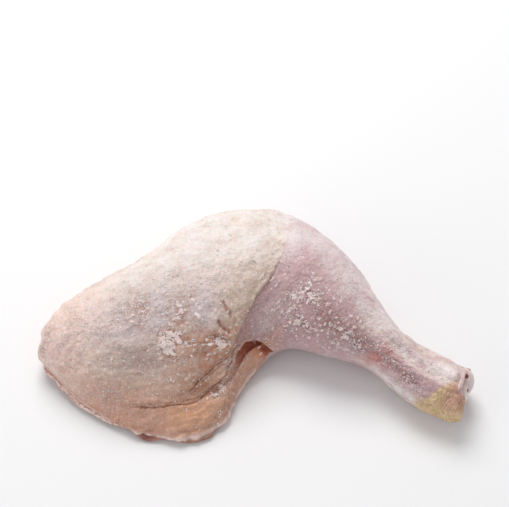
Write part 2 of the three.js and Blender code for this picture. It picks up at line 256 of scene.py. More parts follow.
def folds(along, around, place):
    """How far the skin stands out of the form, in mm: a step at the skin's edge, a bell across each
    ridge and groove, waves along the flap's hem and two long, low waves over the whole leg."""
    thigh_side = behind_edge(along, around, place)
    height = 1.2 * smooth(thigh_side, 0, 0.05) * np.exp(-np.maximum(thigh_side, 0) / 0.8)
    height *= smooth(around, 0.26, 0.34) * (1 - smooth(around, 0.9, 1.0))
    height *= 1 - 0.8 * smooth(around, 0.48, 0.6)
    beside = beside_lines(along, around, place)
    beside["near edge"] = around
    for line, stretch, ridges in RIDGES:
        for rise, middle, width in ridges:
            height += rise * band(along, stretch) * bell(beside[line], middle, width)
    hem = 0.5 * np.sin(6.3 * along) + 0.3 * np.sin(11 * along + 1)
    hem += 1.2 * grain(place, 3.2, 15) + 0.7 * grain(place, 1.7, 18)
    height += hem * bell(around, 0.01, 0.04) * between(along, 3.0, 6.4, 0.4)
    height += 0.6 * np.sin(3.1 * along + 1) * np.sin(7 * around + 0.5)
    return height + 0.35 * np.sin(5.3 * along + 2) * np.sin(13 * around + 1.2)


def tract(along, around):
    """1 where feathers grew densely: the thigh from the skin's edge back, fading towards the hip."""
    thigh_side = skin_edge(around) - along
    upper = between(around, 0.22, 1.02, 0.08)
    return upper * smooth(thigh_side, 0, 0.08) * (0.15 + 0.85 * np.exp(-np.maximum(thigh_side, 0) / 0.9))


# Short creases beside the nook and raised strokes on the thigh: along and around at both their ends
CREASES = ((4.85, 0.452, 5.09, 0.403), (4.79, 0.40, 5.08, 0.357), (4.70, 0.37, 4.98, 0.335))
STROKES = ((4.19, 0.477, 4.42, 0.438), (4.36, 0.425, 4.49, 0.405), (3.97, 0.455, 4.10, 0.42))
LENGTH_UNIT, ROUND_UNIT = 16.0, 95.0      # mm for each unit along and around, about the thigh's middle
FARTHEST = 20.0                           # distances to lines are kept up to this many mm


def from_lines(along, around, lines):
    """Distance in mm to the nearest of some straight lines between two places: the share of the way
    along each line is the projection on it, held between 0 and 1."""
    place = np.stack([along * LENGTH_UNIT, around * ROUND_UNIT], -1)
    nearest = np.full(along.shape, FARTHEST)
    for line in lines:
        start, end = np.array(line).reshape(2, 2) * (LENGTH_UNIT, ROUND_UNIT)
        step = end - start
        share = np.clip((place - start) @ step / (step @ step), 0, 1)
        nearest = np.minimum(nearest, np.linalg.norm(place - start - share[..., None] * step, axis=-1))
    return nearest


def bumps(along, around, place):
    """Scattered bumps of the feather pits, drawn out along the lie of the skin: cells narrowed to
    their middles, kept where a broad noise is high, and on the sides where they show most."""
    x, y, z = place[..., 0], place[..., 1], place[..., 2]
    leaning = np.stack([0.75 * (x + 0.7 * y), y - x, z], -1)
    kept = smooth(grain(place, 5.5, 61), -0.15, 0.15)
    thigh = between(along, 2.6, skin_edge(around), 0.5) * between(around, 0.27, 0.6, 0.1)
    drum = between(along, 6.3, 8.8, 0.4) * between(around, 0.08, 0.42, 0.1)
    return smooth(pebbles(leaning, 3.3, 62), 0.62, 0.8) * kept * (0.7 * thigh + drum)


def pad(along, around, place):
    """1 on the hock's yellow pad. Its upper border climbs by a power to a peak near the rim."""
    border = 0.485 - 0.2 * np.maximum(11.84 - along, 0) ** 1.43 - 0.11 * np.maximum(along - 11.84, 0)
    border = border + 0.05 * grain(place, 3.0, 17)
    turned = np.where(around > 1.5, around - 2, around)
    fade = 0.06 + 0.13 * (1 - smooth(along, 10.6, 11.5))
    on_pad = smooth(along, 10.0, 10.9) * smooth(turned, -0.22, -0.1)
    return on_pad * (1 - smooth(turned, border - fade, border + 0.05))


def pleats(along, around, place):
    """Fine pleats that fan out below the rim of the cut: a sine of the angle about the fan's middle,
    bent and faded by noise."""
    aside, away = around - 0.56, (along - 12.0) * 0.16
    fan = np.arctan2(aside, away) + 0.14 * grain(place, 4.5, 36)
    spread = smooth(np.hypot(aside, away), 0.05, 0.2)
    return spread * np.sin(75 * fan + 2 * grain(place, 3.0, 39)) * (0.7 + 0.6 * grain(place, 5.0, 40))


def texture(along, around, place):
    """Fine relief in mm: pebbles on the feather tract, creases beside the nook, wrinkles on the flap,
    pleats that fan over the pad, long wrinkles on the shank and a faint grain all over."""
    drawn_out = place * np.array([0.5, 1.0, 1.0])
    feathered = 0.95 * (pebbles(drawn_out, 2.3, 21) - 0.55) + 0.5 * grain(drawn_out, 3.0, 28)
    height = tract(along, around) * feathered
    beside_nook = bell(along, 4.85, 0.5) * bell(around, 0.37, 0.06)
    height += 1.1 * beside_nook * crinkle(place, (1.0, -1.0), 7.0, 2.4, 29)
    on_flap = (1 - smooth(around, 0.2, 0.28)) * smooth(around, -0.02, 0.03) * between(along, 2.6, 6.4, 0.7)
    height += on_flap * (0.45 * grain(place, 2.2, 22) + 0.4 * crinkle(place, (1.0, 0.4), 9.0, 2.4, 30))
    height += 0.7 * on_flap * between(along, 4.7, 6.0, 0.4) * (pebbles(place, 2.1, 63) - 0.5)
    beads = on_flap * between(along, 4.9, 5.9, 0.2) * smooth(around, 0.08, 0.14)
    height += 0.9 * beads * (pebbles(place, 1.9, 23) - 0.5)
    dome = between(around, 0.2, 1.0, 0.06) * (1 - smooth(along, 5.6, 6.6))
    height += dome * (0.15 * grain(place, 1.6, 24) + 0.6 * grain(place, 5.0, 25))
    patches = smooth(grain(place, 12.0, 64), -0.3, 0.4) * (1 - tract(along, around))
    height += 0.7 * dome * patches * crinkle(place, (1.0, 0.25), 8.0, 2.8, 33)
    height += 0.5 * bumps(along, around, place) + 0.4 * bell(from_lines(along, around, STROKES), 0, 0.5)
    height -= 0.5 * bell(from_lines(along, around, CREASES), 0, 0.5)
    tip = between(along, 0.8, 2.9, 0.6) * smooth(around, 0.02, 0.1)
    height += tip * (0.6 * (pebbles(place, 2.6, 37) - 0.5) + 0.45 * grain(place, 3.4, 38))
    height += smooth(along, 5.6, 6.6) * (0.16 * grain(place, 1.3, 26) + 0.35 * grain(place, 5.0, 34))
    height += 0.6 * between(along, 9.2, 12.6, 0.7) * crinkle(place, (1.0, -0.5), 9.0, 2.6, 27)
    above_pad = between(along, 8.9, 10.9, 0.4) * bell(around, 0.25, 0.16)
    height += 0.9 * above_pad * (pebbles(place, 1.9, 35) - 0.5)
    return height + 0.25 * pad(along, around, place) * pleats(along, around, place)


PRESSED = 1.5       # below this height the skin is pressed flat by what it lies on
RECESS = 1.3        # the bare meat lies this much behind the skin's hem


def seams(along, around, place):
    """1 in the seams between the muscles, falling to 0 on their bellies: one minus the size of a sine
    that noise bends, cubed."""
    return (1 - np.abs(np.sin(0.9 * along + 2.2 * around + 0.4 * grain(place, 16.0, 31)))) ** 3


def flesh(along, around, place):
    """Relief of the bare meat in mm: seams between broad muscle bellies, and fibres as fine noise."""
    return -RECESS - 0.8 * seams(along, around, place) + 0.25 * grain(place, 3.0, 32)


def skin_point(along, around):
    """The form moved along its normal by folds and texture, or by the meat's own relief. Over the cut
    the skin is drawn back, and nothing sinks below the surface that the leg lies on."""
    place = form(along, around)
    bare = flesh_share(along, around, place)
    skin = folds(along, around, place) + texture(along, around, place)
    skin = skin * np.clip(place[..., 2] / PRESSED, 0, 1)
    shrunk = RIM_BACK * smooth(along, 11.6, HOCK) * between(around, 0.42, 0.78, 0.17)
    height = skin + (flesh(along, around, place) - skin) * bare * (1 - between(around, 1.9, 2.0, 0.02))
    place = place + outward(along, around) * height[..., None] - CUT * shrunk[..., None]
    place[..., 2] = np.maximum(place[..., 2], 0)
    return place


# Flesh and skin: the mesh
# The skin is one closed surface. At the hip it closes in a rounded tip, at the hock it turns in over
# the cut and lines the hollow that the bone end stands in.

ROWS, COLUMNS = 332, 286
ABOVE = 0.72                               # share of the columns on the upper side
TIP_TAPER = 0.03                           # rows lie closer over about this share of the leg, at the tip
BONE_RADIUS, BONE_DEPTH = 5.1, 22.0        # of the shaft that stands in the flesh
KNUCKLE = np.array([6.2, 8.4, 5.2])        # half axes across, up and out of the cut
KNUCKLES_APART = 8.0
BONE_PROUD = {-1: 2.6, 1: 4.2}             # how far the near and the far knuckle stand out
BONE_ASIDE = 1.4                           # the bone sits this much nearer the far side
GAP = 0.3                                  # between the bone end and its socket
TIP_RINGS = ((0, 1.25), (0.35, 1.1), (0.7, 0.8))      # each ring's share of the hip's size, and mm out of it
# Rings of the cut face: their share of the way from the skin's rim to the bone, and mm out of the cut
FACE_RINGS = ((0.05, 0.55), (0.13, 0.9), (0.24, 0.85), (0.4, 0.5), (0.6, 0.3), (0.8, 0.1), (1.0, -0.4))
TURNED_IN = 2                              # this many rings of the cut face are still skin
SOCKET_DEPTHS = (1.8, 3.5, 5.0, 7.0, 9.0, BONE_DEPTH + GAP)


def columns(count):
    """Places round the section: most columns lie above and the rest underneath. Two sine terms draw
    them closer towards the edges, most of all the near one, where the folds lie."""
    share = np.arange(count) / count
    above = share < ABOVE
    place = np.where(above, share / ABOVE, 1 + (share - ABOVE) / (1 - ABOVE))
    return np.where(above, place - 0.05 * np.sin(2 * np.pi * place) - 0.02 * np.sin(np.pi * place), place)


def rows(count):
    """Places along the leg, crowded towards the round hip tip."""
    share = np.arange(1, count + 1) / count
    return HOCK * (1 + TIP_TAPER) * share**2 / (share + TIP_TAPER)


def drawn_in(ring, size, out, direction):
    """The ring shrunk to a share of its size about its middle, and moved out along a direction."""
    middle = ring.mean(axis=0)
    return middle + (ring - middle) * size + np.asarray(direction) * out


def socket_ring(middle, around, depth):
    """An ellipse round the bone end at a depth, wide enough to clear its shaft and its knuckles."""
    sink = np.array([max(BONE_PROUD[side] - KNUCKLE[2] + depth, 0) / KNUCKLE[2] for side in (-1, 1)])
    level = np.sqrt(np.maximum(1 - sink**2, 0))
    reach = np.where(level > 0, KNUCKLES_APART / 2 + KNUCKLE[0] * level, BONE_RADIUS)
    reach = np.maximum(reach, BONE_RADIUS) + GAP
    high = max(KNUCKLE[1] * level.max(), BONE_RADIUS) + GAP
    turn = np.pi * (1 - around)[:, None]
    sideways = np.cos(turn) * np.where(np.cos(turn) < 0, reach[0], reach[1]) + BONE_ASIDE
    return middle + ACROSS * sideways + UP * high * np.sin(turn) - CUT * depth


def add_mesh(name, places, faces):
    """A smooth object over places in mm, each face given by the numbers of its places."""
    mesh = bpy.data.meshes.new(name)
    mesh.from_pydata((places * MM).tolist(), [], faces)
    mesh.polygons.foreach_set("use_smooth", np.ones(len(faces), bool))
    mesh.update()
    piece = bpy.data.objects.new(name, mesh)
    bpy.context.scene.collection.objects.link(piece)
    return piece


def closed_tube(name, rings):
    """A mesh over a stack of rings. Its first and last ring have shrunk to a point and become one
    vertex each; between rings lie quads, and at the two points triangles."""
    count = rings.shape[1]
    body = rings[1:-1]
    places = np.vstack([rings[0, :1], rings[-1, :1], body.reshape(-1, 3)])
    i, j = np.meshgrid(np.arange(len(body) - 1), np.arange(count), indexing="ij")
    after = (j + 1) % count
    quads = np.stack([i * count + j, i * count + after, (i + 1) * count + after, (i + 1) * count + j], -1)
    ring = np.arange(count)
    last = (len(body) - 1) * count
    start = np.stack([np.zeros(count, int), (ring + 1) % count + 2, ring + 2], -1)
    end = np.stack([np.ones(count, int), last + ring + 2, last + (ring + 1) % count + 2], -1)
    return add_mesh(name, places, (quads.reshape(-1, 4) + 2).tolist() + start.tolist() + end.tolist())


def paint_share(piece, name, values):
    """Stores one number for each vertex under a name that the material reads."""
    layer = piece.data.attributes.new(name, "FLOAT", "POINT")
    layer.data.foreach_set("value", np.asarray(values, np.float32).ravel())


around = columns(COLUMNS)
along, turn = np.meshgrid(rows(ROWS), around, indexing="ij")
sheet = skin_point(along, turn)
hip, rim = sheet[0], sheet[-1]
hock_middle = rim.mean(axis=0)
tip_rings = [drawn_in(hip, size, out, (-1, 0, 0)) for size, out in TIP_RINGS]

# The cut face: out over the skin's rounded rim, then across the meat to the socket of the bone
opening = socket_ring(hock_middle, around, 0.0)
face_rings = [rim + (opening - rim) * share + CUT * out for share, out in FACE_RINGS]
socket_rings = [socket_ring(hock_middle, around, depth) for depth in SOCKET_DEPTHS]
floor_ring = drawn_in(socket_rings[-1], 0, 0, CUT)
leg_rings = np.stack(tip_rings + list(sheet) + face_rings + socket_rings + [floor_ring])

# The model's origin lies under the middle of its box, so the stations are moved there
lowest, highest = leg_rings.min(axis=(0, 1)), leg_rings.max(axis=(0, 1))
shift = np.array([(leg_low.x + leg_high.x) / 2, (leg_low.y + leg_high.y) / 2, leg_low.z]) / MM
shift[:2] -= (lowest[:2] + highest[:2]) / 2
leg = closed_tube("leg_skin", leg_rings + shift)


def over_rings(values, face=0.0, socket=0.0):
    """The numbers of the sheet's rows in the vertex order of closed_tube: the first row again for
    the hip's extra rings, then the rows, the last one again where the skin turns in over the rim,
    and given numbers for the rest of the cut face and for the socket."""
    first = np.repeat(values[:1], len(tip_rings) - 1, axis=0)
    middle = np.zeros((len(face_rings), COLUMNS)) + face
    middle[:TURNED_IN] = values[-1]
    last = np.full((len(socket_rings), COLUMNS), socket)
    body = np.vstack([first, values, middle, last])
    return np.concatenate([[body[0].mean(), socket], body.ravel()])


# Flesh and skin: colour masks
# Frozen raw skin is cream and beige on the thigh with grey-lilac flesh showing through, mauve on
# the drumstick, tan on the flap and yellow on the hock's pad, with red bruises above the hock.

# Places given by five numbers: middle and width along the leg, middle and width round it, and strength
FROSTED = (
    (4.1, 0.9, 0.39, 0.11, 0.7),
    (3.95, 0.45, 0.34, 0.05, 1.15),
    (4.2, 0.3, 0.45, 0.04, 0.55),
    (3.35, 0.2, 0.39, 0.03, 1.0),
    (4.8, 0.45, 0.345, 0.06, 1.0),
    (3.3, 0.6, 0.43, 0.09, 0.7),
    (3.6, 0.4, 0.32, 0.02, 0.8),
    (7.35, 0.6, 0.34, 0.09, 0.9),
    (7.5, 0.8, 0.2, 0.12, 0.85),
    (8.4, 0.5, 0.2, 0.12, 0.95),
    (8.75, 0.4, 0.2, 0.09, 0.9),
    (8.9, 0.5, 0.4, 0.1, 0.5),
    (10.1, 0.55, 0.28, 0.07, 0.7),
    (4.95, 0.28, 0.165, 0.05, 1.3),
    (5.3, 0.2, 0.24, 0.03, 1.2),
    (5.2, 0.45, 0.08, 0.07, 0.7),
    (3.9, 0.5, 0.32, 0.04, 0.8),
    (2.2, 0.6, 0.3, 0.08, 0.5),
    (1.7, 0.4, 0.24, 0.06, 0.4),
)
GRITTY = (
    (3.4, 0.6, 0.27, 0.07, 1),       # dent
    (2.9, 0.8, 0.17, 0.06, 1),       # low dome
    (5.3, 0.55, 0.13, 0.12, 1),      # right of the flap
    (8.2, 0.6, 0.3, 0.12, 1),         # calf
    (9.4, 0.5, 0.28, 0.2, 1),        # bruises
    (10.0, 0.7, 0.27, 0.12, 1),      # shank
)
BRUISED = ((9.5, 0.25, 0.38, 0.09, 1), (9.32, 0.25, 0.19, 0.09, 1), (9.12, 0.2, 0.06, 0.06, 0.7))

# Tints that lie in one place each: their bell or band along the leg, and round it
TINTS = {
    "fatty": ((4.2, 4.95, 0.5), (0.1, 0.07)),
    "beads": ((4.95, 5.7, 0.3), (0.13, 0.25, 0.04)),
    "warm": ((4.7, 0.8), (0.22, 0.35, 0.07)),
    "dent": ((3.45, 0.4), (0.265, 0.03)),
    # painted shade on the calf's lower near slope
    "low_drum_shade": ((7.9, 8.9, 0.4), (0.27, 0.09)),
    # painted highlight along the hem of the hip and the flap
    "hem": ((0.8, 6.1, 0.5), (0.004, 0.009)),
    "above_hem": ((1.0, 3.6, 0.5), (0.035, 0.02)),
    # painted shade on the rolled lobe under the flap's edge
    "rolled_shade": ((4.0, 4.9, 0.2), (1.9, 1.995, 0.01)),
    "lip": ((1.2, 3.0, 0.4), (1.9, 1.985, 0.01)),
    "purple": ((9.6, 10.25, 0.4), (0.27, 0.075)),
    "rosy": ((1.5, 0.6), (0.27, 0.12)),
    "lilac": ((2.5, 4.4, 0.8), (0.42, 0.14)),
}
# Bands along the leg in which the colours of the upper fold, the lower fold and the brow show
UPPER_SHOWS, LOWER_SHOWS, BROW_SHOWS = (4.5, 5.45, 0.5), (3.6, 5.5, 0.7), (5.5, 6.85, 0.15)


def spots(along, around, table):
    """A bell over each place of a table, along and around, times its strength."""
    return [amount * bell(along, middle, length) * bell(around, turned, width)
            for middle, length, turned, width, amount in table]


def frost_density(along, around, place):
    """How much frost has settled: the highest of some bells over the frosted places, thin on the
    rest of the front, and broken up by noise."""
    veil = np.maximum.reduce([0.3 * between(around, 0.2, 0.5, 0.15), *spots(along, around, FROSTED)])
    veil = veil * (1 - smooth(along, 10.5, 11.2))
    return veil * np.clip(0.75 + 0.7 * grain(place, 6.0, 51) + 0.6 * grain(place, 2.0, 52), 0, 1.2)


def slopes(along, around):
    """How the form moves, in mm, per unit along and per unit around."""
    step = 0.01
    lengthwise = form(along + step, around) - form(along - step, around)
    crosswise = form(along, around + step) - form(along, around - step)
    return lengthwise / (2 * step), crosswise / (2 * step)


def gritty_share(along, around):
    """How gritty the skin is: a little everywhere, more at the hip's tip and most on the gritty
    places, but only half as much beyond the crown."""
    tip = 0.45 + 0.45 * between(along, 0.6, 2.9, 0.6) * between(around, 0.05, 0.5, 0.15)
    return np.maximum.reduce([tip, *spots(along, around, GRITTY)]) * (1 - 0.5 * smooth(around, 0.55, 0.75))


def flap_share(along, around):
    """1 on the tan skin of the flap and round its hem, and a tan patch below the hip's tip."""
    flap = (1 - smooth(around, 0.10, 0.26)) * between(along, 2.8, 6.4, 1.0)
    hem = smooth(around, 1.86, 1.96) * between(along, 2.2, 6.4, 0.4)
    return np.maximum.reduce([flap, hem, 0.5 * bell(along, 2.1, 0.5) * bell(around, 0.12, 0.08)])


def drum_share(along, around, above):
    """1 on the drumstick's thin skin: beyond the thick skin's edge, and beside the nook only where
    it lies above the upper fold."""
    soft = 0.05 + 0.7 * smooth(around, 0.50, 0.78)
    drum = smooth((along - skin_edge(around)) / soft, -0.8, 0.8)
    return drum * np.maximum(smooth(above, -1, 1), smooth(along, 6.5, 6.8))


def peach_share(along, around):
    """1 on the peach skin of the hip's tip, and on a streak that climbs the far side of the dome."""
    streak = bell(around, 0.68 + 0.1 * (along - 2.6), 0.05) * between(along, 2.2, 3.8, 0.5)
    return np.maximum(between(along, 0.4, 2.2, 0.8) * between(around, 0.1, 0.75, 0.15), streak)


def bloom_and_lit_share(along, around):
    """Thin white bloom: on the dome's far side, as a haze over the drumstick's crown and along the raised
    tendon. The low band by the shank is painted light from the floor."""
    dome = smooth(around, 0.42, 0.66) * (1 - smooth(around, 0.85, 1.05)) * between(along, 3.2, 6.2, 1.4)
    start = 0.52 - 0.12 * smooth(along, 6.3, 8.4)
    haze = smooth(around, start, start + 0.17) * (1 - smooth(around, 0.95, 1.1))
    haze = haze * between(along, 5.5, 9.0, 1.0)
    # painted light from the floor along the shank's low near edge
    low_band = bell(around, 0.01, 0.1) * between(along, 9.4, 10.3, 0.3)
    tendon = bell(around, 0.46 + 0.09 * smooth(along, 9.6, 10.4), 0.07) * between(along, 9.5, 11.6, 0.5)
    return np.maximum.reduce([dome, 0.7 * haze, low_band, 0.9 * tendon])


def pale_and_lit_share(along, around):
    """Pale patches of the drumstick: its crown, over the shank and along its edge underneath. Beside the nook
    a pale patch is painted light where the thigh's edge shades the drumstick, and a band along the shank's
    low near edge is painted light from the floor.
    """
    pale_and_lit = 0.7 * bell(around, 0.6, 0.14) * smooth(along, 7.2, 8.6)
    # painted light where the thigh's edge shades the drumstick beside the nook
    pale_and_lit += 0.7 * bell(along, 6.5, 0.4) * bell(around, 0.29, 0.08)
    pale_and_lit += between(along, 9.5, 12.6, 0.5) * smooth(around, 0.34, 0.44)
    pale_and_lit += 0.8 * bell(along, 8.95, 0.4) * bell(around, 0.42, 0.12)
    # painted light from the floor along the shank's low near edge
    pale_and_lit += bell(around, 0.02, 0.1) * between(along, 9.0, 10.6, 0.4)
    return pale_and_lit + smooth(around, 1.9, 2.0) * smooth(along, 8.4, 9)


# Distances in mm to the lines that the finish draws, then the share of each tint, for every vertex
place = form(along, turn)
length_unit, round_unit = (np.linalg.norm(slope, axis=-1) for slope in slopes(along, turn))
lines = {name: beside * round_unit for name, beside in beside_lines(along, turn, place).items()}
lines["inside"] = behind_edge(along, turn, place) * length_unit
lines = {name: np.clip(values, -FARTHEST, FARTHEST) for name, values in lines.items()}
above, below = lines["above"], lines["below"]
lines["crease"] = from_lines(along, turn, CREASES)
lines["stroke"] = from_lines(along, turn, STROKES)

masks = {name: band(along, stretch) * band(turn, width) for name, (stretch, width) in TINTS.items()}
masks["upper_on"] = band(along, UPPER_SHOWS)
masks["lower_on"] = band(along, LOWER_SHOWS)
masks["brow_on"] = band(along, BROW_SHOWS)
masks["edge_on"] = between(turn, 0.29, 0.56, 0.08)
masks["halo"] = np.maximum(bell(above, 0, 3) * masks["upper_on"], bell(below, 0, 3) * masks["lower_on"])
masks["flap"] = flap_share(along, turn)
masks["pocket"] = between(along, 5.6, 6.7, 0.25) * (1 - smooth(above, -1, 1)) * smooth(turn, 0.0, 0.1)
masks["deep"] = between(along, 5.5, 6.5, 0.25) * bell(above, -2.5, 5.0) * smooth(turn, 0.02, 0.1)
masks["drum"] = drum_share(along, turn, above)
masks["tanned"] = smooth(along, 11.0, 11.9) * smooth(turn, 0.05, 0.25) * (1 - smooth(turn, 1.0, 1.1))
masks["grit"] = gritty_share(along, turn)
masks["bruise"] = sum(spots(along, turn, BRUISED))
masks["peach"] = peach_share(along, turn)
masks["bloom_and_lit"] = bloom_and_lit_share(along, turn) * (1 - np.clip(masks["bruise"], 0, 1))
masks["pale_and_lit"] = pale_and_lit_share(along, turn)
masks["pad"] = pad(along, turn, place)
masks["tract"] = tract(along, turn)
masks["snow"] = frost_density(along, turn, place)
masks["rimed"] = smooth(masks["snow"], 0.7, 1.1)
masks["bumps"] = bumps(along, turn, place)
masks["pleats"] = 0.5 - 0.5 * pleats(along, turn, place)
masks["seam"] = seams(along, turn, place)
# painted shade in the groove between the skin's hem and the lip of meat
hidden = np.maximum(bell(along, 3.6, 0.25), 0.6 * between(along, 1.2, 2.8, 0.3))
masks["crevice_shade"] = hidden * bell(turn, 1.99, 0.008)
tucked = bell(along, 3.6, 0.22) * between(turn, 1.94, 1.985, 0.01)
masks["flesh"] = np.maximum(flesh_share(along, turn, place), tucked)
for name, values in masks.items():
    paint_share(leg, name, over_rings(np.clip(values, 0, 1)))
for name, values in lines.items():
    paint_share(leg, name, over_rings(values, face=FARTHEST, socket=FARTHEST))
paint_share(leg, "cut", over_rings(np.zeros_like(along), face=1.0, socket=1.0))


# Flesh and skin: the finish
# Damp translucent skin: light passes a little way into it, its film of water gives a soft gloss,
# and thin frost bleaches its high spots.

class Channel:
    """One output of a shader node. Python's operators on it add the Math nodes that they name."""

    def __init__(self, finish, socket):
        self.finish = finish
        self.socket = socket

    def __add__(self, other):
        return self.finish.maths("ADD", self, other)

    def __sub__(self, other):
        return self.finish.maths("SUBTRACT", self, other)

    def __rsub__(self, other):
        return self.finish.maths("SUBTRACT", other, self)

    def __mul__(self, other):
        return self.finish.maths("MULTIPLY", self, other)

    def __abs__(self):
        return self.finish.maths("ABSOLUTE", self, 0.0)

    __radd__ = __add__
    __rmul__ = __mul__


class Finish:
    """A material whose nodes are written as expressions."""

    def __init__(self, name):
        self.material = bpy.data.materials.new(name)
        self.material.use_nodes = True
        self.tree = self.material.node_tree
        self.tree.nodes.clear()

    def node(self, kind, settings=None, sockets=None, output=0):
        """Adds a node: first its settings, then the values or links of its sockets."""
        made = self.tree.nodes.new(kind)
        for key, value in (settings or {}).items():
            setattr(made, key, value)
        for key, value in (sockets or {}).items():
            if isinstance(value, Channel):
                self.tree.links.new(value.socket, made.inputs[key])
            else:
                made.inputs[key].default_value = value
        return Channel(self, made.outputs[output]) if made.outputs else None

    def maths(self, operation, first, second):
        return self.node("ShaderNodeMath", {"operation": operation}, {0: first, 1: second})

    def place(self):
        """The Object coordinates."""
        return self.node("ShaderNodeTexCoord", output="Object")

    def drawn_out(self, place, turn, squeeze):
        """Places turned about the vertical and squeezed along x, so that a noise on them runs along it."""
        sockets = {"Vector": place, "Rotation": (0.0, 0.0, turn), "Scale": (squeeze, 1.0, 1.0)}
        return self.node("ShaderNodeMapping", {}, sockets)

    def share(self, name):
        """A number stored on the piece's vertices."""
        return self.node("ShaderNodeAttribute", {"attribute_name": name}, output="Fac")

    def step(self, value, start, end):
        """The value mapped from start..end to 0..1 along a smooth curve, and held there."""
        settings = {"interpolation_type": "SMOOTHSTEP"}
        return self.node("ShaderNodeMapRange", settings, {"Value": value, "From Min": start, "From Max": end})

    def line(self, offset, width):
        """1 where the offset is 0, and 0 from the width on, on both sides."""
        return 1 - self.step(abs(offset), 0.0, width)

    def noise(self, place, scale, detail=3.0, rough=0.55):
        sockets = {"Vector": place, "Scale": scale, "Detail": detail, "Roughness": rough}
        return self.node("ShaderNodeTexNoise", {}, sockets, output="Fac")

    def cells(self, place, scale):
        """The distance to the nearest of scattered points."""
        return self.node("ShaderNodeTexVoronoi", {}, {"Vector": place, "Scale": scale}, output="Distance")

    def mix(self, factor, first, second):
        """Blends two colours by a factor."""
        return self.node("ShaderNodeMix", {"data_type": "RGBA"}, {0: factor, 6: first, 7: second}, output=2)

    def coats(self, colour, *laid):
        """Lays colours over one another in turn, each by its share."""
        for share, coat in laid:
            colour = self.mix(share, colour, coat)
        return colour

    def bump(self, height, strength, distance):
        """A normal that leans as if the surface stood out by the height times a distance in metres."""
        return self.node("ShaderNodeBump", {}, {"Strength": strength, "Distance": distance, "Height": height})

    def surface(self, piece, sockets):
        """Finishes a piece with one Principled shader."""
        principled = self.node("ShaderNodeBsdfPrincipled", {}, sockets)
        self.node("ShaderNodeOutputMaterial", {}, {"Surface": principled})
        piece.data.materials.append(self.material)


def paint(red, green, blue):
    """A colour given as it looks on a screen, 0 to 255, as linear light."""
    screen = np.array([red, green, blue]) / 255
    linear = np.where(screen <= 0.04045, screen / 12.92, ((screen + 0.055) / 1.055) ** 2.4)
    return (*linear.tolist(), 1.0)


CREAM = paint(222, 199, 180)
BEIGE = paint(208, 188, 178)
LILAC = paint(217, 206, 210)
PEACH = paint(250, 224, 214)
ROSY = paint(254, 220, 214)
MAUVE = paint(206, 172, 175)
PALE = paint(232, 214, 208)
TAN = paint(211, 164, 144)
AMBER = paint(232, 178, 140)
# The next two browns are painted shade: laid in creases, grooves and valleys, under the drumstick's brow and
# the flap's rolled edge, beside the thick skin's step and between frost strokes
BROWN_SHADE = paint(150, 92, 70)
DARK_SHADE = paint(146, 70, 44)
RUST = paint(198, 104, 68)
NOOK = paint(200, 142, 112)
SHADE = paint(182, 158, 155)
YELLOW = paint(216, 190, 138)
STRAW = paint(236, 206, 168)
RED = paint(206, 134, 128)
PURPLE = paint(182, 140, 142)
MEAT = paint(178, 112, 106)
LIP = paint(208, 162, 150)
MEMBRANE = paint(214, 176, 170)
BLOOD = paint(120, 60, 52)
FROST = paint(250, 245, 243)
RIME = paint(250, 230, 225)
PLUM = paint(128, 86, 82)
DUSK = paint(174, 132, 130)

skin = Finish("damp_skin")
mask, step, line = skin.share, skin.step, skin.line
spot = skin.place()
broad = skin.noise(spot, 38.0, 3.0)
patchy = skin.noise(spot, 130.0, 4.0, 0.6)
medium = skin.noise(spot, 300.0, 3.0, 0.6)
fine = skin.noise(spot, 620.0, 4.0, 0.65)
speck = skin.noise(spot, 1100.0, 2.0, 0.6)
pores = skin.cells(spot, 480.0)
down = skin.noise(skin.drawn_out(spot, 0.9, 0.45), 700.0, 3.0, 0.65)
up = skin.noise(skin.drawn_out(spot, -0.8, 0.45), 700.0, 3.0, 0.65)
on_drum = mask("drum")
strokes = down * (1 - on_drum) + up * on_drum
snowed = mask("snow")
skinned = 1 - mask("flesh")

# Cream skin with lilac flesh under it, mauve on the drumstick, tan on the flap
drum_colour = skin.coats(
    MAUVE,
    # pale patches of the drumstick, with painted light beside the nook and along the shank's low edge
    (mask("pale_and_lit") * step(patchy, 0.25, 0.6), PALE),
    (step(broad, 0.5, 0.75) * 0.4, LILAC),
)
colour = skin.coats(
    skin.mix(step(broad + 0.4 * patchy, 0.55, 0.85), BEIGE, CREAM),
    (mask("tract") * 0.75, CREAM),
    (mask("lilac") * step(broad + 0.3 * patchy, 0.4, 0.75) * 0.9, LILAC),
    (mask("peach") * (0.35 + 0.7 * patchy), PEACH),
    (mask("rosy") * (0.3 + 0.9 * patchy), ROSY),
    (on_drum, drum_colour),
    (mask("flap") * (0.5 + 0.9 * broad), TAN),
    (mask("flap") * step(patchy, 0.5, 0.7) * 0.45, AMBER),
    (mask("fatty") * 0.8, AMBER),
    (mask("warm") * step(medium + 0.3 * patchy, 0.3, 0.8), NOOK),
    (mask("dent") * 0.7, SHADE),
)

# The hock's horny yellow pad, the bruises above it and the purple skin with its pale grains
horny = skin.coats(
    skin.mix(step(medium + 0.3 * fine, 0.5, 0.85), YELLOW, STRAW),
    (step(mask("pleats") + 0.5 * (fine - 0.5), 0.55, 0.95) * 0.55, TAN),
    (mask("tanned") * (0.45 + 0.9 * patchy), TAN),
)
grains = step(skin.cells(spot, 640.0) + 0.3 * (fine - 0.5), 0.4, 0.2)
colour = skin.coats(
    colour,
    (step(mask("pad") + 0.6 * (patchy - 0.5), 0.1, 0.8), horny),
    (mask("bruise") * step(patchy + 0.5 * medium, 0.55, 0.95), RED),
    # painted shade on the calf's lower near slope
    (mask("low_drum_shade") * 0.75, DUSK),
    (mask("purple") * (0.2 + 0.6 * patchy), PURPLE),
    (mask("purple") * (1 - grains) * 0.3, PLUM),
    (mask("purple") * grains * 0.7, PALE),
)

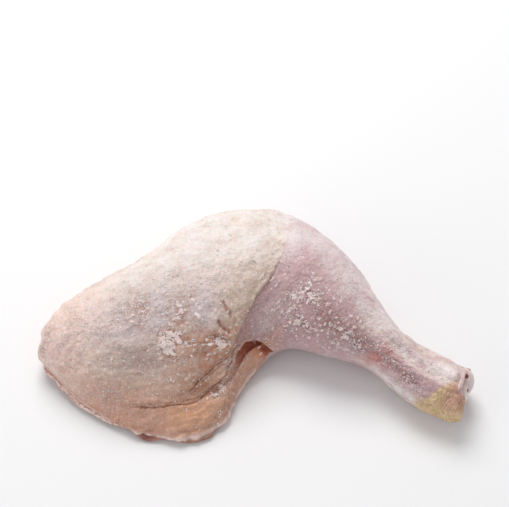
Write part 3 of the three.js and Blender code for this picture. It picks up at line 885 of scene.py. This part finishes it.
# The rust-brown pocket under the drumstick's brow, its rust deepened by painted shade towards the brow, with
# painted shade right under the brow and a painted highlight along its lip, and the beads beside it
brow = mask("brow")
under_brow = mask("brow_on") * step(brow + 0.8 * (medium - 0.5), 0.35, -0.35)
nearest = step(brow, -7.0, -0.5)
in_pocket = under_brow * step(brow, -11.0, -3.5)
colour = skin.coats(
    colour,
    (mask("pocket") * 0.4, AMBER),
    (mask("beads") * 0.45, AMBER),
    (mask("beads") * 0.5, PEACH),
    (mask("beads") * step(fine, 0.49, 0.6) * 0.55, RUST),
    (mask("halo") * step(medium, 0.3, 0.65) * 0.5, NOOK),
    # the pocket's rust: partly its own colour, partly painted shade under the brow
    (mask("deep") * 0.15, RUST),
    (in_pocket * (0.55 + 0.4 * nearest), RUST),
    # painted shade right under the brow
    (under_brow * nearest * (0.5 + 0.5 * patchy), DARK_SHADE),
    # painted highlight along the lip of the brow
    (line(brow - 0.8, 0.9) * mask("brow_on") * 0.75, PEACH),
)

# Bare meat: fibres that run with the muscle, patches of membrane, and fat in the seams
fibres = skin.noise(skin.drawn_out(spot, -0.6, 0.16), 520.0, 4.0, 0.6)
meat = skin.coats(
    MEAT,
    (step(fibres, 0.4, 0.65) * 0.5, LIP),
    (step(broad + 0.25 * fibres, 0.62, 0.86) * 0.75, MEMBRANE),
    (step(fibres, 0.44, 0.3) * 0.35, BLOOD),
    (step(mask("seam") + 0.5 * (patchy - 0.5), 0.35, 0.8) * 0.8, CREAM),
)

# A bundle of thin creases along either fold, darkened with painted shade, and the thick skin's edge with a
# painted shadow beside it and a painted highlight on its rim
wavy = 2.4 * (medium - 0.5) + 1.2 * (patchy - 0.5)
above = mask("above") + wavy
below = mask("below") + wavy
upper_lines = line(above, 0.55) + 0.7 * line(above + 1.9, 0.4) + 0.5 * line(above - 2.3, 0.35)
lower_lines = line(below, 0.5) + 0.6 * line(below - 1.7, 0.35)
broken = step(patchy + 0.2 * fine, 0.38, 0.62)
creases = (upper_lines * mask("upper_on") + lower_lines * mask("lower_on")) * broken
border = mask("inside") + 1.6 * (medium - 0.5)
colour = skin.coats(
    colour,
    (mask("flesh"), meat),
    (mask("lip"), skin.mix(step(strokes, 0.42, 0.6), LIP, PEACH)),
    # painted shade on the rolled lobe under the flap's edge
    (mask("rolled_shade") * 0.8, BROWN_SHADE),
    # painted shade in the groove between the skin's hem and the lip of meat
    (mask("crevice_shade"), BLOOD),
    # painted shade in the thin creases along the folds
    (creases * 0.75, DARK_SHADE),
    # painted shadow beside the thick skin's step, on the drumstick's side
    (line(border + 0.6, 0.9) * mask("edge_on") * step(patchy, 0.35, 0.6) * 0.8, BROWN_SHADE),
    # painted highlight on the rim of the thick skin's step
    (line(border - 0.6, 0.7) * mask("edge_on") * step(fine, 0.4, 0.6) * 0.8, PEACH),
    (mask("cut"), MEMBRANE),
    (mask("above_hem") * (0.3 + 0.9 * medium) * 0.7, NOOK),
    # painted highlight along the hem
    (mask("hem") * 0.9, PEACH),
)

# Sandy grain and grime, painted shade in the skin's valleys and short creases, then frost: white on the high
# spots, with painted shade between them where it is thick
clean = 1 - 0.85 * in_pocket
sand = speck + 0.4 * (fine - 0.5)
valley_shade = step(pores + 0.3 * fine, 0.5, 0.85)
bloomed_and_lit = mask("bloom_and_lit") * (1 - 0.7 * mask("low_drum_shade")) * step(patchy + 0.5 * fine, 0.35, 0.95)
ragged = 1.2 * (fine - 0.5)
grainy = strokes + 0.3 * (medium - 0.5) + 0.35 * (speck - 0.5)
raised_line = line(mask("stroke") + ragged, 0.7)
frosting = step(grainy + 0.21 * snowed + 0.14 * mask("rimed") + 0.3 * raised_line, 0.67, 0.75)
colour = skin.coats(
    colour,
    (step(sand, 0.52, 0.68) * mask("grit") * skinned * clean * 0.6, RIME),
    (step(sand, 0.48, 0.32) * mask("grit") * skinned * 0.4, skin.mix(on_drum, NOOK, PLUM)),
    # painted shade in the valleys between the skin's raised cells
    (valley_shade * skinned * 0.09, BROWN_SHADE),
    # frost bloom, with painted light from the floor along the shank's low edge
    (bloomed_and_lit * 0.75, FROST),
    # painted shade in the short creases beside the nook
    (line(mask("crease") + ragged, 0.85) * 0.9, BROWN_SHADE),
    (step(snowed, 0.35, 1.0) * 0.35, skin.mix(on_drum, NOOK, DUSK)),
    # painted shade between the frost's strokes where it is thick
    (snowed * step(grainy, 0.50, 0.40) * 0.65, skin.mix(on_drum, BROWN_SHADE, PLUM)),
    (step(mask("bumps") + 0.4 * (fine - 0.5), 0.2, 0.7) * 0.7, RIME),
    (frosting * skinned * clean * 0.85, RIME),
)

relief = 0.45 * fine + 0.4 * (1 - pores) + 0.5 * patchy + 0.8 * snowed * speck
skin.surface(leg, {
    "Base Color": colour,
    "Roughness": 0.45 + 0.2 * patchy - 0.08 * on_drum,
    "IOR": 1.4,
    "Subsurface Weight": 0.25,
    "Subsurface Radius": (0.9, 0.35, 0.22),
    "Subsurface Scale": 0.0012,
    "Coat Weight": 0.06,
    "Coat Roughness": 0.3,
    "Normal": skin.bump(relief + 0.8 * frosting - 0.7 * creases, 0.9, 0.0009),
})
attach(leg, "root")
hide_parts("leg")


# The bone end
# The lower end of the shank bone, cut free of the foot at the joint: two knuckles side by side with
# a groove between them, capped with smooth blue-grey cartilage. It grows in the flesh.

BONE_SWEEP, BONE_TURNS = 90, 120         # points from pole to pole, and round
BONE_HEART = -3.0        # out of the cut; every ray from here meets the bone's skin once
PITS = ((3.2, 7.9, 0.7), (-1.3, 1.6, 2.0))      # where ligaments were cut off: across, up and out
PIT_RADIUS, PIT_DEPTH = 1.5, 0.8
SHAFT_TOP = 3.0          # the shaft ends this far out of the heart, inside the knuckles
MELT = 0.9               # mm over which the shaft and the knuckles run into one another


def ray_to_knuckle(ray, side):
    """Distance along a ray from the heart to the ellipsoid of one knuckle."""
    centre = np.array([side * KNUCKLES_APART / 2, 0, BONE_PROUD[side] - KNUCKLE[2] - BONE_HEART]) / KNUCKLE
    ray = ray / KNUCKLE
    square = (ray**2).sum(axis=-1)
    along_ray = ray @ centre
    return (along_ray + np.sqrt(np.maximum(along_ray**2 - square * (centre @ centre - 1), 0))) / square


def bone_rings(sweep, turns):
    """The farthest of three solids along each ray, softly blended: the shaft, a cylinder that ends
    flat in the depth, and the two knuckles. Rays sweep from straight out of the cut to straight in.
    Fine noise roughens what shows, and a bell sinks each pit."""
    angle = np.linspace(0, np.pi, sweep)[:, None]
    round_it = 2 * np.pi * np.arange(turns)[None] / turns
    sine, cosine = np.sin(angle), np.cos(angle) + 0 * round_it
    ray = np.stack([sine * np.cos(round_it), sine * np.sin(round_it), cosine], -1)
    wall = BONE_RADIUS / np.maximum(sine, 1e-6)
    end = np.where(cosine < 0, BONE_DEPTH + BONE_HEART, SHAFT_TOP) / np.maximum(np.abs(cosine), 1e-6)
    reaches = np.stack([np.minimum(wall, end), ray_to_knuckle(ray, -1), ray_to_knuckle(ray, 1)])
    farthest = reaches.max(axis=0)
    reach = MELT * np.log(np.exp((reaches - farthest) / MELT).sum(axis=0)) + farthest
    place = ray * reach[..., None]
    reach = reach + 0.12 * grain(place, 3.0, 41) * np.exp(-np.maximum(-place[..., 2] - 4, 0))
    place = place + np.array([0, 0, BONE_HEART])
    pit = sum(np.exp(-((place - np.array(middle))**2).sum(-1) / PIT_RADIUS**2) for middle in PITS)
    return ray * (reach - PIT_DEPTH * pit)[..., None] + np.array([BONE_ASIDE, 0, BONE_HEART]), pit


bone_places, bone_pits = bone_rings(BONE_SWEEP, BONE_TURNS)
bone_places, bone_pits = bone_places[::-1], bone_pits[::-1]
bone = closed_tube("bone_end", hock_middle + shift + bone_places @ np.stack([ACROSS, UP, CUT]))
ends_first = [np.stack([values[0, 0], values[-1, 0]]) for values in (bone_pits, bone_places[..., 2])]
paint_share(bone, "pit", np.concatenate([ends_first[0], bone_pits[1:-1].ravel()]))
paint_share(bone, "out", np.concatenate([ends_first[1], bone_places[1:-1, :, 2].ravel()]))

BONE_GREY = paint(228, 218, 216)
BONE_PINK = paint(222, 188, 182)
cartilage = Finish("cartilage")
clouds = cartilage.noise(cartilage.place(), 190.0, 3.0)
tint = cartilage.coats(
    BONE_GREY,
    (cartilage.step(clouds, 0.45, 0.65) * 0.5, BONE_PINK),
    (cartilage.step(cartilage.share("out") + 3 * (clouds - 0.5), 2.2, 0.8) * 0.8, BONE_PINK),
    (cartilage.step(cartilage.share("pit") + 0.6 * (clouds - 0.5), 0.3, 0.75), BLOOD),
)
cartilage.surface(bone, {
    "Base Color": tint,
    "Roughness": 0.28 + 0.15 * clouds,
    "Subsurface Weight": 0.3,
    "Subsurface Radius": (0.8, 0.5, 0.45),
    "Subsurface Scale": 0.002,
    "Coat Weight": 0.3,
    "Coat Roughness": 0.15,
    "Normal": cartilage.bump(clouds, 0.25, 0.0003),
})
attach(bone, "root")
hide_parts("shank_bone")


# Frost
# Ice crystals from the freezer: small white flakes and grains, thick in places on the thigh, the
# flap and the calf and thin elsewhere. They have frozen on to the skin.

CLUSTERS, SINGLES, LUMPS = 180, 700, 330
TRIES = 60                                 # random places drawn for each one wanted
CRYSTAL_WIDTHS, SINGLE_WIDTHS, LUMP_WIDTHS = (0.12, 0.3), (0.1, 0.24), (0.2, 0.42)      # half widths, in mm
SLIM, LONG = (1, 1.9), (1.1, 2.6)          # half length over half width, of flakes and of lumps
FLAT = (0.3, 0.55)                         # half height over half width
FLAKE_ROUGH, LUMP_ROUGH = 0.4, 0.3         # how far their corners stray, as a share of their size
FLAKE_SIDES = 7
FLAKE_RINGS = ((-0.35, 1.0), (0.55, 0.78))      # level as a share of the half height, and size
LOWEST = 0.02                              # mm above the surface that the leg lies on
draw = np.random.default_rng(7)


def frost_places(count):
    """Random places on the upper skin, kept where a second random number is under the density."""
    tries = count * TRIES
    along = draw.uniform(0.6, 12.2, tries)
    around = draw.uniform(0.0, 1.0, tries)
    chance = draw.uniform(0, 1.2, tries)
    kept = np.flatnonzero(chance < frost_density(along, around, form(along, around)) ** 1.2)[:count]
    return np.stack([along[kept], around[kept]])


def leaning(along):
    """The direction of frost strokes: down the dome on the thigh, and across the drumstick."""
    return np.where(along < 5.6, -0.8, 1.4) + draw.normal(size=along.shape) * 0.45


def scattered(along, around, length, width, lean):
    """Each place moved at random by a length in mm in a leaning direction on the skin and by a width
    across it; the slopes of the form turn the millimetres into shares of along and around."""
    lengthwise, crosswise = (np.linalg.norm(slope, axis=-1) for slope in slopes(along, around))
    far = draw.normal(size=along.shape) * length
    wide = draw.normal(size=along.shape) * width
    return np.stack([along + (far * np.cos(lean) - wide * np.sin(lean)) / lengthwise,
                     around + (far * np.sin(lean) + wide * np.cos(lean)) / crosswise])


cluster_along, cluster_around = frost_places(CLUSTERS)
members = 2 + (7 * draw.random(len(cluster_along)) ** 2).astype(int)
streak = 0.3 + 1.0 * draw.random(len(cluster_along)) ** 2
lean = np.repeat(leaning(cluster_along), members)
crystals = scattered(np.repeat(cluster_along, members), np.repeat(cluster_around, members),
                     np.repeat(streak, members), 0.35, lean)
singles = frost_places(SINGLES)
lumps = frost_places(LUMPS)
frost_along, frost_around = np.concatenate([crystals, singles, lumps], axis=1)
frost_lean = np.concatenate([lean, leaning(singles[0]), leaning(lumps[0])])
slim, thick = crystals.shape[1] + singles.shape[1], lumps.shape[1]
half_width = np.concatenate([
    draw.uniform(*CRYSTAL_WIDTHS, crystals.shape[1]),
    draw.uniform(*SINGLE_WIDTHS, singles.shape[1]),
    draw.uniform(*LUMP_WIDTHS, thick),
])
half_length = half_width * np.concatenate([draw.uniform(*SLIM, slim), draw.uniform(*LONG, thick)])
half_height = half_width * draw.uniform(*FLAT, len(half_width))
roughly = np.concatenate([np.full(slim, FLAKE_ROUGH), np.full(thick, LUMP_ROUGH)])

seat = skin_point(frost_along, frost_around) + shift
lift = outward(frost_along, frost_around)
frost_slopes = slopes(frost_along, frost_around)
lengthwise, crosswise = (slope / np.linalg.norm(slope, axis=-1)[:, None] for slope in frost_slopes)
forwards = lengthwise * np.cos(frost_lean)[:, None] + crosswise * np.sin(frost_lean)[:, None]
forwards = forwards - lift * (forwards * lift).sum(-1)[:, None]
forwards = forwards / np.linalg.norm(forwards, axis=-1)[:, None]
sideways = np.cross(lift, forwards)

# Each flake is a flattened ball: a low and a high ring of seven ragged points, and two poles
flakes = len(seat)
spin = 2 * np.pi * np.arange(FLAKE_SIDES) / FLAKE_SIDES
stack = []
for level, size in FLAKE_RINGS:
    ragged = size * (1 + roughly[:, None] * draw.uniform(-1, 1, (flakes, FLAKE_SIDES)))
    stack.append(seat[:, None] + forwards[:, None] * (half_length[:, None] * ragged * np.cos(spin))[..., None]
                 + sideways[:, None] * (half_width[:, None] * ragged * np.sin(spin))[..., None]
                 + (lift * (level * half_height)[:, None])[:, None])
stack.append((seat - lift * half_height[:, None])[:, None])
stack.append((seat + lift * half_height[:, None])[:, None])
points = np.concatenate(stack, axis=1)
points[..., 2] = np.maximum(points[..., 2], LOWEST)
base = (np.arange(flakes) * (2 * FLAKE_SIDES + 2))[:, None]
side = np.arange(FLAKE_SIDES)
after = (side + 1) % FLAKE_SIDES
bottom = np.broadcast_to(base + 2 * FLAKE_SIDES, (flakes, FLAKE_SIDES))
low, low_after = base + side, base + after
high, high_after = low + FLAKE_SIDES, low_after + FLAKE_SIDES
corners = ((low_after, low, bottom), (low, low_after, high_after),
           (low, high_after, high), (high, high_after, bottom + 1))
triangles = np.concatenate([np.stack(three, -1).reshape(-1, 3) for three in corners])
frost = add_mesh("frost", points.reshape(-1, 3), triangles.tolist())

ice = Finish("ice_crystals")
sparkle = ice.noise(ice.place(), 900.0, 2.0)
ice.surface(frost, {
    "Base Color": ice.mix(sparkle, paint(238, 222, 222), paint(254, 245, 244)),
    "Roughness": 0.25 + 0.3 * sparkle,
    "IOR": 1.31,
})
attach(frost, "root")


# Floor, light and camera
# A plain white surface under an even sky, a large soft light high behind the leg, a weaker one on
# the left, and the camera that looks down on the leg lying there.

FLOOR_HALF = 3.0                         # metres from the middle to each side
floor_corners = np.array([(-1, -1, 0), (1, -1, 0), (1, 1, 0), (-1, 1, 0)]) * (FLOOR_HALF / MM)
floor = add_mesh("floor", floor_corners, [(0, 1, 2, 3)])
white = Finish("white_surface")
white.surface(floor, {
    "Base Color": white.mix(white.noise(white.place(), 3.0), paint(246, 246, 247), paint(250, 250, 251)),
    "Roughness": 0.6,
})


AIM = (0, 0, 0.02)                       # where the lights look, in metres
LAMP_WHITE = (1.0, 0.99, 0.98)


def soft_light(name, place, size, power):
    """A square area light that looks at the leg."""
    lamp = bpy.data.lights.new(name, "AREA")
    lamp.shape = "SQUARE"
    lamp.size = size
    lamp.energy = power
    lamp.color = LAMP_WHITE
    holder = bpy.data.objects.new(name, lamp)
    holder.location = place
    holder.rotation_euler = (Vector(AIM) - Vector(place)).to_track_quat("-Z", "Y").to_euler()
    bpy.context.scene.collection.objects.link(holder)


soft_light("back_light", (-0.2, 0.9, 1.25), size=0.8, power=15.5)
soft_light("left_fill", (-1.2, -0.75, 0.5), size=1.0, power=3.2)

world = bpy.data.worlds.new("studio")
world.use_nodes = True
sky = world.node_tree.nodes["Background"].inputs
sky["Color"].default_value = (0.985, 0.99, 1.0, 1.0)
sky["Strength"].default_value = 0.475
bpy.context.scene.world = world
bpy.context.scene.view_settings.view_transform = "Standard"

PHOTO_WIDE, PHOTO_HIGH = 509, 507        # pixels
FOCAL_PIXELS = 1300.0                    # focal length, in pixels of the photograph
PITCH = np.radians(57.0)                 # the camera looks down this steeply
PIXELS_PER_MM = 2.0
OBJECT_PIXEL = (256.0, 325.5)            # where the stations' origin lies in the photograph
OBJECT_HEIGHT = 15.0                     # mm above the surface
SENSOR_WIDTH = 36.0                      # mm

look = np.array([0, np.cos(PITCH), -np.sin(PITCH)])
camera_up = np.array([0, np.sin(PITCH), np.cos(PITCH)])
distance = FOCAL_PIXELS / PIXELS_PER_MM
right_by = (OBJECT_PIXEL[0] - PHOTO_WIDE / 2) / PIXELS_PER_MM
down_by = (OBJECT_PIXEL[1] - PHOTO_HIGH / 2) / PIXELS_PER_MM
eye = np.array([-right_by, 0, OBJECT_HEIGHT]) + shift - look * distance + camera_up * down_by
camera_data = bpy.data.cameras.new("camera")
camera_data.sensor_width = SENSOR_WIDTH
camera_data.lens = SENSOR_WIDTH * FOCAL_PIXELS / PHOTO_WIDE
camera = bpy.data.objects.new("camera", camera_data)
camera.location = eye * MM
camera.rotation_euler = (np.pi / 2 - PITCH, 0, 0)
camera_data.clip_start = 0.01
bpy.context.scene.collection.objects.link(camera)
bpy.context.scene.camera = camera
